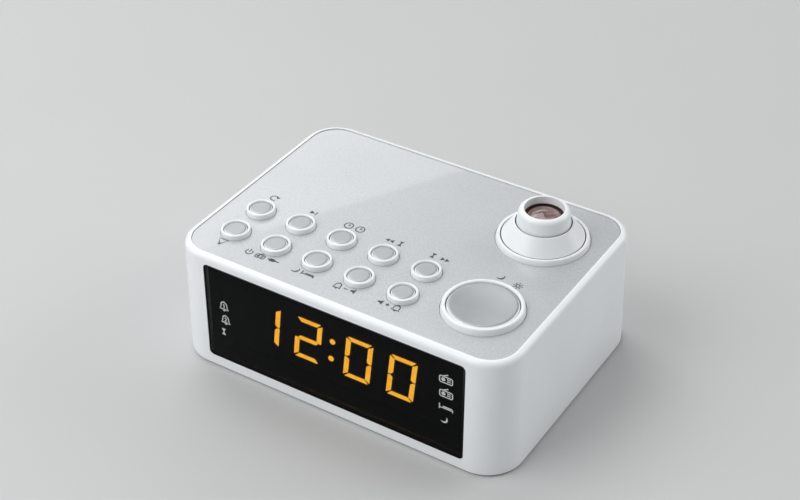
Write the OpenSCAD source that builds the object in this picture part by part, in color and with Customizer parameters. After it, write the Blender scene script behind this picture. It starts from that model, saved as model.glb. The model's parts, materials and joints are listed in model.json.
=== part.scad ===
// Projection clock radio: a white moulded case with a smoked window and LED digits in front, ten round
// keys and a snooze key on top, and a swivelling ceiling projector with a focusing barrel.
// Sizes are in millimetres. +X is to the right of someone who faces the digits, +Y to the back, +Z up.
// The origin lies on the table, under the middle of the case.

/* [Case] */
// Width of the case at its foot
body_w = 160; // [158:1:170]
// Depth of the case at its foot
body_d = 116; // [115:1:122]
// Height of the case's rim above the table
body_h = 56.2; // [55:0.2:62]
// Gap between the case's lower edge and the table
ground_gap = 1; // [0.8:0.1:1.4]
// Radius of the upright corners at the foot
corner_r = 16; // [14:0.5:18]
// Lean of the four side walls, in degrees
draft = 1.4; // [0.8:0.1:1.8]
// Radius of the rounded upper edge
edge_r = 2.5; // [1.8:0.1:2.6]
// Wall thickness of the case
wall = 2.2; // [1.9:0.1:2.4]
// Thickness of the case's deck under the top panel
deck_t = 2; // [1.6:0.1:2.4]
// Radius of the inside edge under the deck
inner_r = 1; // [0.6:0.1:1.5]

/* [Top panel] */
// Thickness of the top panel
panel_t = 1; // [0.8:0.1:1.4]
// Height of the rim over the panel
panel_drop = 0.4; // [0.2:0.1:0.8]
// Width of the white rim round the panel
rim_w = 2.65; // [2.6:0.05:3.4]
// Gap round the panel and round the rings that pass through it
panel_gap = 0.2; // [0.1:0.05:0.3]

/* [Display window] */
// Distance from the case's sides to the window
window_in = 17.85; // [17.5:0.05:20]
// Height of the case's front above the window
window_drop = 4.15; // [3.9:0.05:6]
// Height of the window's lower edge above the table
window_z = 5.55; // [5.2:0.05:6]
// Corner radius of the window
window_r = 2.2; // [1.5:0.1:3]
// Thickness of the window
window_t = 1.2; // [1:0.1:1.4]
// Width of the ledge that the window is glued to
window_ledge = 1.6; // [1.2:0.1:2]
// Gap round the window
window_gap = 0.1; // [0.05:0.05:0.2]

/* [Digits] */
// Height of a digit
digit_h = 20.9; // [19:0.1:22]
// Width of a digit
digit_w = 12.5; // [11.5:0.1:13]
// Distance from a digit to its neighbour
digit_pitch = 20.4; // [20:0.1:21]
// Extra room for the colon between the middle digits
colon_room = 3.7; // [3.3:0.1:4]
// Height of the digits' lower edge above the table
digit_z = 21.2; // [20.5:0.1:23]
// Distance of the digits' middle from the case's middle
digits_x = -1.5; // [-3:0.1:1]
// Width of an upright bar
bar_w = 2.1; // [1.8:0.1:2.4]
// Height of a lying bar
bar_h = 1.8; // [1.5:0.1:2.2]
// Gap between two bars
bar_gap = 0.8; // [0.4:0.05:1]
// Slant of the digits, in degrees
digit_slant = 7; // [0:0.5:10]
// Thickness of the lit bars
bar_t = 0.3; // [0.2:0.05:0.5]
// Diameter of a colon dot
dot_d = 2.5; // [2:0.1:3]
// Depth of the reflector block behind the bars
block_t = 8; // [6:0.5:9]

/* [Keys] */
// Distance from the case's left side to the first key column
key_in = 19.45; // [18:0.05:22]
// Distance from the last key column to the snooze key's middle
key_to_snooze = 31; // [29:0.1:34]
// Distance between the two key rows
row_pitch = 17.5; // [16.5:0.1:18.5]
// Distance from the case's front to the middle between the rows
key_back = 30.75; // [30:0.05:32]
// Diameter of a round key's cap
key_d = 9.9; // [9:0.1:10.4]
// Width of the ring round a key
key_ring_w = 1.25; // [1:0.05:1.5]
// Height of the key rings over the panel
key_ring_h = 2.1; // [1.6:0.1:2.4]
// Gap between a cap and its ring
key_gap = 0.2; // [0.15:0.05:0.3]
// Travel of the round keys
key_travel = 0.8; // [0.5:0.1:1]
// How far the caps sit below their rings
cap_sink = 0.2; // [0:0.1:0.6]
// Rounding of the round caps' upper edge
cap_edge = 1.3; // [0.6:0.1:1.5]
// Thickness of the flange that holds a cap under the deck
flange_t = 1; // [0.8:0.1:1.2]
// Play between a flange and the deck
flange_play = 0.2; // [0.15:0.05:0.3]

/* [Snooze key] */
// Distance from the case's right side to the snooze key's middle
snooze_in = 27.75; // [27:0.05:29]
// Distance from the case's front to the snooze key's middle
snooze_back = 31; // [30.5:0.1:32]
// Diameter of the snooze key's cap
snooze_d = 28.8; // [27:0.1:29.4]
// Width of the ring round the snooze key
snooze_ring_w = 2.1; // [1.6:0.1:2.4]
// Height of that ring over the panel
snooze_ring_h = 2.6; // [2:0.1:3]
// Gap between the cap and its ring
snooze_gap = 0.35; // [0.2:0.05:0.5]
// Rounding of the snooze cap's upper edge
snooze_edge = 1.2; // [0.8:0.1:1.5]
// Depth of the dished top
snooze_dish = 0.5; // [0.2:0.1:0.8]
// Travel of the snooze key
snooze_travel = 1; // [0.6:0.1:1]

/* [Switches] */
// Width of a tactile switch
switch_w = 6; // [5:0.5:7]
// Height of a tactile switch's body
switch_h = 3.5; // [3:0.1:4]
// Diameter of the switch plunger
plunger_d = 3.4; // [3:0.1:3.6]
// Height of the plunger over the switch body
plunger_up = 1.2; // [1.1:0.1:1.5]
// Height from the key board up to the deck
key_board_drop = 8; // [7.8:0.1:9]

/* [Projector] */
// Distance from the case's right side to the projector's middle
proj_in = 30.4; // [30:0.1:32]
// Distance from the case's rear to the projector's middle
proj_front = 31.4; // [31:0.1:32.5]
// Outer diameter of the ring round the projector
proj_ring_d = 39.2; // [38.6:0.1:40]
// Height of that ring over the panel
proj_ring_h = 2.2; // [1.8:0.1:2.6]
// Width of that ring
proj_ring_w = 1.95; // [1.6:0.05:2.2]
// Gap between the ring and the turret's foot
turret_gap = 0.45; // [0.3:0.05:0.6]
// Height of the turret over the panel
turret_h = 8.6; // [7.5:0.1:9.5]
// Diameter of the turret's upper edge
turret_top_d = 24.8; // [24.4:0.1:26]
// Diameter of the focusing barrel in the turret
barrel_d = 22.6; // [21.5:0.1:22.8]
// Gap round the barrel at the turret's mouth
barrel_gap = 0.5; // [0.3:0.05:0.6]
// Diameter of the barrel where its shoulder begins
barrel_top_d = 21.2; // [20.5:0.1:21.6]
// Height of the barrel over the panel
barrel_h = 15; // [14.5:0.1:17]
// Height of the barrel's rounded shoulder
shoulder_h = 2.1; // [1.5:0.1:2.2]
// Diameter of the lens tube inside the barrel
lens_tube_d = 16.4; // [16.2:0.1:16.6]
// Diameter of the projection lens
lens_d = 15.4; // [14:0.1:15.5]
// Distance from the barrel's top down to the lens tube
lens_drop = 3.3; // [3.2:0.1:4.2]
// Travel of the lens either way from its middle
lens_travel = 1.5; // [1:0.1:1.6]
// Radial play of the turning and sliding parts
play = 0.1; // [0.05:0.01:0.15]
// Turn of the turret each way, in degrees
turret_turn = 90; // [60:5:90]

/* [Base cover] */
// Thickness of the base cover
base_t = 2.4; // [2.2:0.1:2.8]
// How far the base cover sits above the case's lower edge
base_rise = 0.2; // [0.1:0.1:0.4]
// Gap between the base cover and the case
base_gap = 0.3; // [0.2:0.05:0.5]
// Diameter of the rubber feet
foot_d = 10; // [8:0.5:10.5]
// Depth of the feet's recesses
foot_recess = 0.8; // [0.5:0.1:1]
// Distance of the case screws from the case's sides
screw_in = 12; // [11.5:0.1:13]

/* [Battery bay] */
// Middle of the battery bay to the right of the case's middle
bay_x = 34; // [33:0.5:35]
// Distance from the case's front to the middle of the battery bay
bay_back = 30.5; // [30:0.5:32]
// Length of the bay, for two AAA cells side by side
bay_l = 49; // [48:0.5:50]
// Width of the bay
bay_w = 22.6; // [22:0.1:23]
// Depth of the bay over the door
bay_h = 12; // [11.5:0.1:13]
// Wall thickness of the bay
bay_wall = 1.3; // [1:0.1:1.5]
// Thickness of the battery door
door_t = 1.4; // [1.2:0.1:1.5]
// Width of the ledge that the door closes on
door_ledge = 1.8; // [1.5:0.1:2.2]
// Gap round the door
door_gap = 0.2; // [0.15:0.05:0.3]

/* [Speaker] */
// Middle of the speaker to the left of the case's middle
speaker_x = -38; // [-39:0.5:-37]
// Width of the speaker's square frame
speaker_w = 57; // [55:0.5:58]
// Height of the gasket under the frame
gasket_t = 1.6; // [1.2:0.1:2]
// Height of the basket
basket_h = 9.6; // [9:0.1:10.5]
// Diameter of the magnet
magnet_d = 32; // [28:0.5:33]
// Height of the magnet with its plates
magnet_h = 7.4; // [6.5:0.1:7.6]
// Width of a slot in the speaker grille
slot_w = 1.8; // [1.4:0.1:2.2]
// Distance between the grille slots
slot_pitch = 4; // [3.6:0.1:5]

/* [Circuit boards] */
// Thickness of the circuit boards
board_t = 1.6; // [1.2:0.1:1.8]
// Distance from the case's left side to the main board
main_in = 17; // [16.5:0.5:22]
// Depth of the main board
main_d = 77; // [72:1:78]
// Height of the main board over the base cover
main_board_up = 24.6; // [24.5:0.1:26]
// Distance of the display board's face from the case's front
display_set = 11.4; // [11:0.1:12]

/* [Transformer] */
// Middle of the transformer to the right of the case's middle
trafo_x = 18; // [17:0.5:18.5]
// Middle of the transformer behind the case's middle
trafo_y = 26; // [24:0.5:28]
// Width of the iron core
core_w = 36; // [34:0.5:37]
// Height of the iron core
core_h = 28; // [26:0.5:28]
// Thickness of the stack of core plates
core_t = 16; // [14:0.5:18]

/* [Rear side] */
// Place of the auxiliary socket from the case's middle
aux_x = -36; // [-40:0.5:-32]
// Radius of the auxiliary socket's bore
aux_r = 1.8; // [1.75:0.05:1.9]
// Distance from the case's right side to the mains cord gland
gland_in = 24; // [22:0.5:28]
// Height of the gland above the table
gland_z = 12; // [11:0.5:14]
// Radius of the gland's bore, for a round mains cord
gland_r = 2.6; // [2.2:0.1:3]
// Distance from the case's left side to the wire aerial's outlet
aerial_in = 22; // [20:0.5:28]
// Radius of the wire aerial's outlet
aerial_r = 1.5; // [1.2:0.1:2]
// Number of cooling slots beside the transformer
vents = 8; // [6:1:9]

/* [Hidden] */
$fn = 64;
key_ids = ["projection", "power", "sleep", "alarm", "volume", "rotate", "next", "clock", "hour", "minute"];
columns = 5;

white = "#f3f4f4";
silver = "#c3c6c8";
black = "#1b1c1e";
board_green = "#2f6b46";
steel = "#b9bcbe";
amber = "#f3ab2b";

eps = 0.01;

// Levels, from the table up
shell_z = ground_gap;
base_z = shell_z + base_rise;
floor_z = base_z + base_t;
panel_z = body_h - panel_drop;
deck_top = panel_z - panel_t;
deck_z = deck_top - deck_t;
key_board_z = deck_z - key_board_drop;
main_board_z = floor_z + main_board_up;

// Case screws, their bosses and the feet
boss_r = 4;
pilot_r = 1.6;
case_screw_r = 1.5;
case_screw_l = 12;
case_head_r = 2.9;
case_head_h = 1.3;
head_gap = 0.3;
boss_x = body_w / 2 - screw_in;
boss_y = body_d / 2 - screw_in;
foot_room = 16;
foot_in = 10.5;
foot_x = boss_x - foot_room;
foot_y = body_d / 2 - foot_in;

// Small screws that hold the boards, the retainer, the strap and the speaker
screw_r = 1.15;
screw_l = 4;
screw_head_r = 2.3;
screw_head_h = 1.2;
small_pilot_r = 1.2;
tip_gap = 0.3;
small_hole_r = 1.5;
small_boss_r = 2.8;

// Top panel
panel_in = (body_h - shell_z) * tan(draft) + rim_w;
panel_w = body_w - 2 * panel_in;
panel_d = body_d - 2 * panel_in;
panel_r = corner_r - panel_in;
display_y = -body_d / 2 + display_set;

// Window
window_w = body_w - 2 * window_in;
window_h = body_h - window_drop - window_z;

// Places on the case
snooze_x = body_w / 2 - snooze_in;
snooze_y = -body_d / 2 + snooze_back;
proj_x = body_w / 2 - proj_in;
proj_y = body_d / 2 - proj_front;
key_first = -body_w / 2 + key_in;
key_pitch = (snooze_x - key_to_snooze - key_first) / (columns - 1);
key_y = -body_d / 2 + key_back;
bay_y = -body_d / 2 + bay_back;
gland_x = body_w / 2 - gland_in;
aerial_x = -body_w / 2 + aerial_in;

// Keys
key_bore_r = key_d / 2 + key_gap;
key_ring_r = key_bore_r + key_ring_w;
snooze_bore_r = snooze_d / 2 + snooze_gap;
snooze_ring_r = snooze_bore_r + snooze_ring_w;
flange_over = 1.2;
flange_z = deck_z - flange_play - flange_t;
plunger_z = key_board_z + board_t + switch_h + plunger_up;
plunger_sunk = 2;

// Key board
key_board_in = 10;
key_board_w = body_w - 2 * key_board_in;
key_board_front = display_y + 5.1;
key_board_back = key_y + 18.25;
snooze_boss = 14;
key_board_bosses = concat(
    [for (c = [0.5, 2.5, 4.5]) [key_first + c * key_pitch, key_y]],
    [[snooze_x + snooze_boss, snooze_y + snooze_boss]]);

// Projector
proj_ring_r = proj_ring_d / 2;
proj_bore_r = proj_ring_r - proj_ring_w;
turret_r = proj_bore_r - turret_gap;
turret_flange_r = proj_bore_r + 1.3;
turret_z = flange_z - 0.2;
turret_flange_top = deck_z - flange_play;
turret_floor = turret_z + 2.2;
turret_top = panel_z + turret_h;
turret_mouth = 3;
barrel_r = barrel_d / 2;
barrel_top = panel_z + barrel_h;
barrel_low = turret_floor + 0.3;
lens_tube_r = lens_tube_d / 2;
lens_tube_top = barrel_top - lens_drop;
lens_tube_step = 11;
lens_rim = 2;
lens_dome = 2.4;
lens_fit = 0.05;
lens_sunk = 0.8;
lens_z = lens_tube_top - lens_rim - lens_sunk;
neck_r = 7.5;
lug_out = 1.4;
lug_w = 4;
lug_angle = 150;
stop_w = 3;
stop_angle = turret_turn + (lug_w + stop_w) / 2 / (turret_flange_r + lug_out) * 180 / PI + 1;
retainer_t = 1.2;
retainer_z = turret_z - flange_play - retainer_t;
retainer_in = 14;
retainer_out = turret_flange_r + lug_out;
ear_r = proj_ring_r + 3.9;
ear_angles = [90, 210, 330];
ear_w = 4.6;
lamp_r = 12;
lamp_wall = 1.4;
lamp_h = 17.8;
lamp_z = turret_z - lamp_h;
lamp_bore_r = lamp_r - lamp_wall;
led_bore_r = lamp_bore_r - 1;
lens_seat = lamp_z + 5;
lens_edge = 1.4;
lcd_gap = 4.4;
lcd_z = lens_seat + lens_edge + lcd_gap;
lcd_t = 1.4;
lens_tube_low = lcd_z + lcd_t + lens_travel + 0.3;

// Display
display_inset = 2.15;
display_headroom = 5.2;
display_w = window_w - 2 * display_inset;
display_low = floor_z + 2;
display_h = deck_z - display_low - display_headroom;
block_edge = 3.5;
colon_x = digits_x - 0.5;
colon_heights = [0.277, 0.712];
guide_w = 3;
guide_h = 26;
guide_grip = 1.2;

// Main board and its posts, which stand clear of the speaker's frame
main_left = -body_w / 2 + main_in;
trafo_room = 5;
main_right = trafo_x - core_w / 2 - trafo_room;
main_w = main_right - main_left;
main_x = (main_left + main_right) / 2;
main_y = body_d / 2 - main_d / 2 - 7.5;
speaker_y = main_y - 2;
post_in = 3;
post_room = speaker_w / 2 + 4.5;
main_posts = [for (sx = [-1, 1], sy = [-1, 1])
    [main_x + sx * (main_w / 2 - post_in), speaker_y + sy * post_room]];

// Ferrite aerial
rod_r = 4;
rod_l = 60;
rod_x = -4;
rod_y = key_board_back + 7;
rod_z = main_board_z + board_t + 10.2;
hanger_t = 2.4;
hanger_half = 5.5;
hanger_reach = rod_l / 2 - 4;
coil_l = 24;
coil_out = 1.4;

// Transformer
strap_t = 1;
strap_foot = 6;
strap_w = 10;
leg = core_w / 6;
core_window = core_w * 7 / 36;
core_yoke = 5;
coil_over = 6;
strap_seat = 4;

// Battery bay
door_l = bay_l + 2 * door_ledge;
door_w = bay_w + 2 * door_ledge;
notch_r = 8;
notch_t = 0.7;
spring_d = 7;
cell_pitch = bay_w / 2 - 0.5;
contact_t = 0.4;
contact_w = 8;
contact_h = 9;

// Speaker
plate_t = 1.2;
plate_z = floor_z + gasket_t;
basket_z = plate_z + plate_t;
basket_low_r = 26;
basket_top_r = 14;
basket_wall = 1.2;
magnet_z = basket_z + basket_h;
grille_r = 24;
speaker_hole = speaker_w / 2 - 5;
cone_r = 23.8;
cone_h = 7.2;
cone_rim = 1.5;
paper_t = 0.6;
coil_r = 7.2;
coil_t = 0.4;
coil_dip = 3.4;

// Rear side
aux_z = main_board_z + board_t + 3.7;
aux_body = [9, 12, 7.4];
aux_nose_r = 3.4;
gland_flange_r = 6;
gland_sleeve_r = 3.9;
gland_recess = 1.2;
vent_w = 2;
vent_h = 16;
vent_pitch = 4;
vent_z = 20;

// How far a side wall has leaned in at height z
function lean(z) = (z - shell_z) * tan(draft);
// Radius of the case's corner at height z, after an inset
function face_r(z, inset) = corner_r - inset - lean(z);
// Depth of the rear wall's outer face at height z
function rear_y(z) = body_d / 2 - lean(z);
// Place of key number i: the front row first, from the left
function key_at(i) = [key_first + (i % columns) * key_pitch,
                      key_y + (floor(i / columns) - 0.5) * row_pitch];
// Point on a circle round the projector's axis
function round_proj(r, a) = [proj_x + r * cos(a), proj_y + r * sin(a)];

// Cross-section of the case from a corner's axis outwards, with the upper edge rounded
module edge_profile(inset, low, high, round) {
    cz = high - round;
    cx = face_r(cz, inset) - round / cos(draft);
    polygon([[0, low], [face_r(low, inset), low], [cx + round * cos(draft), cz + round * sin(draft)],
             [cx, cz], [cx, high], [0, high]]);
    translate([cx, cz]) circle(round);
}

// The case's outer form, or its hollow: four turned corners joined by straight walls
module case_form(inset, low, high, round) {
    cx = body_w / 2 - corner_r;
    cy = body_d / 2 - corner_r;
    for (sx = [-1, 1], sy = [-1, 1])
        translate([sx * cx, sy * cy, 0]) rotate_extrude() edge_profile(inset, low, high, round);
    for (side = [0, 1])
        mirror([side, 0, 0]) translate([cx, cy, 0]) rotate([90, 0, 0])
            linear_extrude(2 * cy) edge_profile(inset, low, high, round);
    for (side = [0, 1])
        mirror([0, side, 0]) translate([-cx, cy, 0]) rotate([90, 0, 90])
            linear_extrude(2 * cx) edge_profile(inset, low, high, round);
    translate([-cx, -cy, low]) cube([2 * cx, 2 * cy, high - low]);
}

// Rectangle with round corners, centred
module rounded_outline(w, d, r) {
    square([w - 2 * r, d], center = true);
    square([w, d - 2 * r], center = true);
    for (sx = [-1, 1], sy = [-1, 1]) translate([sx * (w / 2 - r), sy * (d / 2 - r)]) circle(r);
}

// Rounded plate with its underside at z
module plate(w, d, r, t, z) {
    translate([0, 0, z]) linear_extrude(t) rounded_outline(w, d, r);
}

// Moves its children onto the leaning front face: z runs up the face, y into the case
module on_front() {
    translate([0, -body_d / 2, shell_z]) rotate([-draft, 0, 0]) children();
}

// Slab parallel to the front face, from depth y inwards, larger than the window by grow
module window_slab(grow, y, t) {
    on_front() translate([0, y + t, window_z - shell_z + window_h / 2]) rotate([90, 0, 0])
        linear_extrude(t) rounded_outline(window_w + 2 * grow, window_h + 2 * grow, window_r + grow);
}

// Upright cylinder from height low to height high
module post(at, r, low, high) {
    translate([at[0], at[1], low]) cylinder(h = high - low, r = r);
}

// Raised ring's outer form, from the deck's underside up, with a round outer edge
module ring_form(at, r, h, round, slim) {
    top = panel_z + h;
    translate([at[0], at[1], 0]) rotate_extrude() {
        polygon([[0, deck_z], [r, deck_z], [r, panel_z], [r - slim, top - round],
                 [r - slim - round, top - round], [r - slim - round, top], [0, top]]);
        translate([r - slim - round, top - round]) circle(round);
    }
}

// Bore of a raised ring, with its inner edge broken
module ring_bore(at, r, h) {
    broken = 0.25;
    top = panel_z + h;
    post(at, r, deck_z - 1, top + 1);
    translate([at[0], at[1], top - broken]) cylinder(h = broken + eps, r1 = r, r2 = r + broken + eps);
}

module case_bosses() {
    for (sx = [-1, 1], sy = [-1, 1]) post([sx * boss_x, sy * boss_y], boss_r, floor_z, deck_z + eps);
}

// Hanging rib that carries the ferrite rod
module rod_hanger(x) {
    translate([x - hanger_t / 2, rod_y - hanger_half, rod_z - hanger_half])
        cube([hanger_t, 2 * hanger_half, deck_z - rod_z + hanger_half + eps]);
}

// Rib under the deck that stops the turret's lug
module turret_stop(side) {
    translate([proj_x, proj_y, 0]) rotate(lug_angle + side * stop_angle)
        translate([turret_flange_r + 0.4, -stop_w / 2, turret_z])
            cube([lug_out + 1.6, stop_w, deck_z - turret_z + eps]);
}

module deck_bosses() {
    for (at = key_board_bosses) post(at, small_boss_r, key_board_z + board_t, deck_z + eps);
    for (a = ear_angles) post(round_proj(ear_r, a), small_boss_r, retainer_z + retainer_t, deck_z + eps);
    for (side = [-1, 1]) rod_hanger(rod_x + side * hanger_reach);
    for (side = [-1, 1]) turret_stop(side);
}

module rear_holes() {
    translate([aux_x, 0, aux_z]) rotate([-90, 0, 0]) cylinder(h = body_d, r = aux_nose_r + 0.2);
    translate([aerial_x, 0, gland_z]) rotate([-90, 0, 0]) cylinder(h = body_d, r = aerial_r);
    translate([gland_x, 0, gland_z]) rotate([-90, 0, 0]) {
        cylinder(h = body_d, r = gland_sleeve_r + play);
        translate([0, 0, rear_y(gland_z) - gland_recess]) cylinder(h = body_d, r = gland_flange_r + 0.2);
    }
    for (i = [0:vents - 1])
        translate([trafo_x + (i - (vents - 1) / 2) * vent_pitch - vent_w / 2, body_d / 2 - 8, vent_z])
            cube([vent_w, 16, vent_h]);
}

module housing() color(white) difference() {
    union() {
        difference() {
            case_form(0, shell_z, body_h, edge_r);
            case_form(wall, shell_z - 1, deck_z, inner_r);
            plate(panel_w, panel_d, panel_r, body_h, deck_top);
            window_slab(0, -1, window_t + 1);
            window_slab(-window_ledge, -1, wall + 4);
            rear_holes();
        }
        for (i = [0:len(key_ids) - 1]) ring_form(key_at(i), key_ring_r, key_ring_h, 0.5, 0.25);
        ring_form([snooze_x, snooze_y], snooze_ring_r, snooze_ring_h, 0.8, 0.5);
        ring_form([proj_x, proj_y], proj_ring_r, proj_ring_h, 0.7, 0.5);
        case_bosses();
        deck_bosses();
    }
    for (i = [0:len(key_ids) - 1]) ring_bore(key_at(i), key_bore_r, key_ring_h);
    ring_bore([snooze_x, snooze_y], snooze_bore_r, snooze_ring_h);
    ring_bore([proj_x, proj_y], proj_bore_r, proj_ring_h);
    for (sx = [-1, 1], sy = [-1, 1])
        post([sx * boss_x, sy * boss_y], pilot_r, floor_z - 1, floor_z + case_screw_l);
    for (at = key_board_bosses)
        post(at, small_pilot_r, key_board_z, key_board_z + screw_l + tip_gap);
    for (a = ear_angles)
        post(round_proj(ear_r, a), small_pilot_r, retainer_z, retainer_z + screw_l + tip_gap);
    translate([rod_x - body_w / 4, rod_y, rod_z]) rotate([0, 90, 0])
        cylinder(h = body_w / 2, r = rod_r + play);
}

module top_panel() color(silver) difference() {
    plate(panel_w - 2 * panel_gap, panel_d - 2 * panel_gap, panel_r - panel_gap, panel_t, deck_top);
    for (i = [0:len(key_ids) - 1]) post(key_at(i), key_ring_r + panel_gap, deck_z, body_h);
    post([snooze_x, snooze_y], snooze_ring_r + panel_gap, deck_z, body_h);
    post([proj_x, proj_y], proj_ring_r + panel_gap, deck_z, body_h);
}

module display_window() color(black) window_slab(-window_gap, window_gap, window_t - window_gap);

// A cap with its holding flange and the stem that stands on the switch
module key_form(at, cap_r, top, edge, dish) {
    difference() {
        translate([at[0], at[1], 0]) rotate_extrude() {
            polygon([[0, flange_z], [cap_r + flange_over, flange_z],
                     [cap_r + flange_over, flange_z + flange_t], [cap_r, flange_z + flange_t],
                     [cap_r, top - edge], [cap_r - edge, top - edge], [cap_r - edge, top], [0, top]]);
            translate([cap_r - edge, top - edge]) circle(edge);
        }
        if (dish > 0) {
            rim_r = cap_r - edge - 0.4;
            ball_r = (rim_r * rim_r + dish * dish) / (2 * dish);
            translate([at[0], at[1], top - dish + ball_r]) sphere(ball_r, $fn = 200);
        }
    }
    post(at, plunger_d / 2, plunger_z, flange_z + eps);
}

module round_key(i) color(silver)
    key_form(key_at(i), key_d / 2, panel_z + key_ring_h - cap_sink, cap_edge, 0);

module snooze_key() color(silver)
    key_form([snooze_x, snooze_y], snooze_d / 2, panel_z + snooze_ring_h - cap_sink, snooze_edge,
             snooze_dish);

module plunger(at) color(black) post(at, plunger_d / 2, plunger_z - plunger_up - plunger_sunk, plunger_z);

module key_board() color(board_green) difference() {
    translate([-key_board_w / 2, key_board_front, key_board_z])
        cube([key_board_w, key_board_back - key_board_front, board_t]);
    for (at = key_board_bosses) post(at, small_hole_r, 0, body_h);
}

// Body of one tactile switch, bored for its plunger
module switch_body(at, travel) {
    low = key_board_z + board_t;
    difference() {
        translate([at[0] - switch_w / 2, at[1] - switch_w / 2, low]) cube([switch_w, switch_w, switch_h]);
        post(at, plunger_d / 2 + play, plunger_z - plunger_up - plunger_sunk - travel - play, body_h);
    }
}

module switch_bodies() color(steel) {
    for (i = [0:len(key_ids) - 1]) switch_body(key_at(i), key_travel);
    switch_body([snooze_x, snooze_y], snooze_travel);
}

// Everything of the projector is drawn round its own axis
module on_projector() {
    translate([proj_x, proj_y, 0]) children();
}

module projector_turret() color(white) on_projector() difference() {
    union() {
        rotate_extrude() polygon([
            [0, turret_z], [turret_flange_r, turret_z], [turret_flange_r, turret_flange_top],
            [proj_bore_r - play, turret_flange_top], [proj_bore_r - play, panel_z], [turret_r, panel_z],
            [turret_r, panel_z + proj_ring_h - 0.2], [turret_top_d / 2, turret_top], [0, turret_top]]);
        rotate(lug_angle) translate([turret_flange_r - 1, -lug_w / 2, turret_z])
            cube([1 + lug_out - 0.3, lug_w, turret_flange_top - turret_z]);
    }
    translate([0, 0, turret_floor]) cylinder(h = body_h, r = barrel_r + play);
    translate([0, 0, turret_top - turret_mouth]) cylinder(h = body_h, r = barrel_r + barrel_gap);
    translate([0, 0, turret_z - 1]) cylinder(h = body_h, r = neck_r + play);
}

module turret_retainer() color(black) difference() {
    union() {
        on_projector() {
            translate([0, 0, retainer_z]) cylinder(h = retainer_t, r = retainer_out);
            for (a = ear_angles) rotate(a) translate([retainer_out - 2, -ear_w / 2, retainer_z])
                cube([ear_r - retainer_out + 2, ear_w, retainer_t]);
        }
        for (a = ear_angles) post(round_proj(ear_r, a), small_boss_r, retainer_z, retainer_z + retainer_t);
    }
    on_projector() translate([0, 0, retainer_z - 1]) cylinder(h = retainer_t + 2, r = retainer_in);
    for (a = ear_angles) post(round_proj(ear_r, a), small_hole_r, 0, body_h);
}

module focus_ring() color(white) on_projector() difference() {
    rotate_extrude() {
        shoulder = barrel_top - shoulder_h;
        lip_r = barrel_top_d / 2 - shoulder_h;
        polygon([[0, barrel_low], [barrel_r, barrel_low], [barrel_r, turret_top],
                 [barrel_top_d / 2, shoulder], [lip_r, shoulder], [lip_r, barrel_top], [0, barrel_top]]);
        translate([lip_r, shoulder]) circle(shoulder_h);
    }
    translate([0, 0, barrel_low - 1]) cylinder(h = body_h, r = lens_tube_r + play);
}

module lens_tube() color(black) on_projector() difference() {
    union() {
        translate([0, 0, lens_tube_low]) cylinder(h = lens_tube_top - lens_tube_low, r = neck_r);
        translate([0, 0, lens_tube_top - lens_tube_step]) cylinder(h = lens_tube_step, r = lens_tube_r);
    }
    translate([0, 0, lens_tube_low - 1]) cylinder(h = body_h, r = neck_r - 1.2);
    translate([0, 0, lens_z]) cylinder(h = body_h, r = lens_d / 2 + lens_fit);
}

// Lens: a disc with a domed upper face
module lens_form(r, z, edge, dome) {
    ball_r = (r * r + dome * dome) / (2 * dome);
    on_projector() intersection() {
        translate([0, 0, z]) cylinder(h = edge + dome + 1, r = r);
        translate([0, 0, z + edge + dome - ball_r]) sphere(ball_r, $fn = 128);
    }
}

module projector_lens() color("#8d8084") lens_form(lens_d / 2, lens_z, lens_rim, lens_dome);

module condenser_lens() color("#dfe3e4") {
    post([proj_x, proj_y], lamp_bore_r - play, lens_seat, lens_seat + lens_edge);
    lens_form(led_bore_r - 0.5, lens_seat, lens_edge, lens_dome);
}

// Stepped cup: the diode's board lies on its floor, the lens on its step
module lamp_house() color(black) on_projector() difference() {
    translate([0, 0, lamp_z]) cylinder(h = lamp_h, r = lamp_r);
    translate([0, 0, lamp_z + lamp_wall]) cylinder(h = body_h, r = led_bore_r);
    translate([0, 0, lens_seat]) cylinder(h = body_h, r = lamp_bore_r);
}

// The shutter's frame stands on the lens and holds its glass cell
module lcd_shutter() color("#3b4148") on_projector() difference() {
    translate([0, 0, lens_seat + lens_edge]) cylinder(h = lcd_gap + lcd_t, r = lamp_bore_r - play);
    translate([0, 0, 0]) cylinder(h = lcd_z, r = led_bore_r - 0.2);
}

module projector_led() color("#c33a32") on_projector() {
    translate([0, 0, lamp_z + lamp_wall]) cylinder(h = board_t, r = led_bore_r - 0.2);
    translate([0, 0, lamp_z + lamp_wall]) cylinder(h = board_t + 1.2, r = 2.5);
}

// Outline of one bar of a seven-bar digit: a top, b and c right, d bottom, e and f left, g middle
function bar_shape(bar) =
    let (w = digit_w, h = digit_h, s = bar_w, t = bar_h, g = bar_gap / 2, m = digit_h / 2)
    bar == "a" ? [[2 * g, h], [w - 2 * g, h], [w - s - g, h - t], [s + g, h - t]] :
    bar == "b" ? [[w, h - 2 * g], [w, m + g], [w - s / 2, m + g], [w - s, m + t / 2 + g],
                  [w - s, h - t - g]] :
    bar == "g" ? [[s / 2 + g, m], [s + g, m + t / 2], [w - s - g, m + t / 2],
                  [w - s / 2 - g, m], [w - s - g, m - t / 2], [s + g, m - t / 2]] :
    bar == "c" ? [for (p = bar_shape("b")) [p[0], h - p[1]]] :
    bar == "d" ? [for (p = bar_shape("a")) [p[0], h - p[1]]] :
    bar == "e" ? [for (p = bar_shape("c")) [w - p[0], p[1]]] :
    [for (p = bar_shape("b")) [w - p[0], p[1]]];

// Bars that are lit for each of the four digits of 12:00
lit = [["b", "c"], ["a", "b", "g", "e", "d"], ["a", "b", "c", "d", "e", "f"], ["a", "b", "c", "d", "e", "f"]];

// Left edge of digit number i at its foot
function digit_x(i) = digits_x + (i - 1.5) * digit_pitch + (i < 2 ? -1 : 1) * colon_room / 2 - digit_w / 2;

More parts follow.
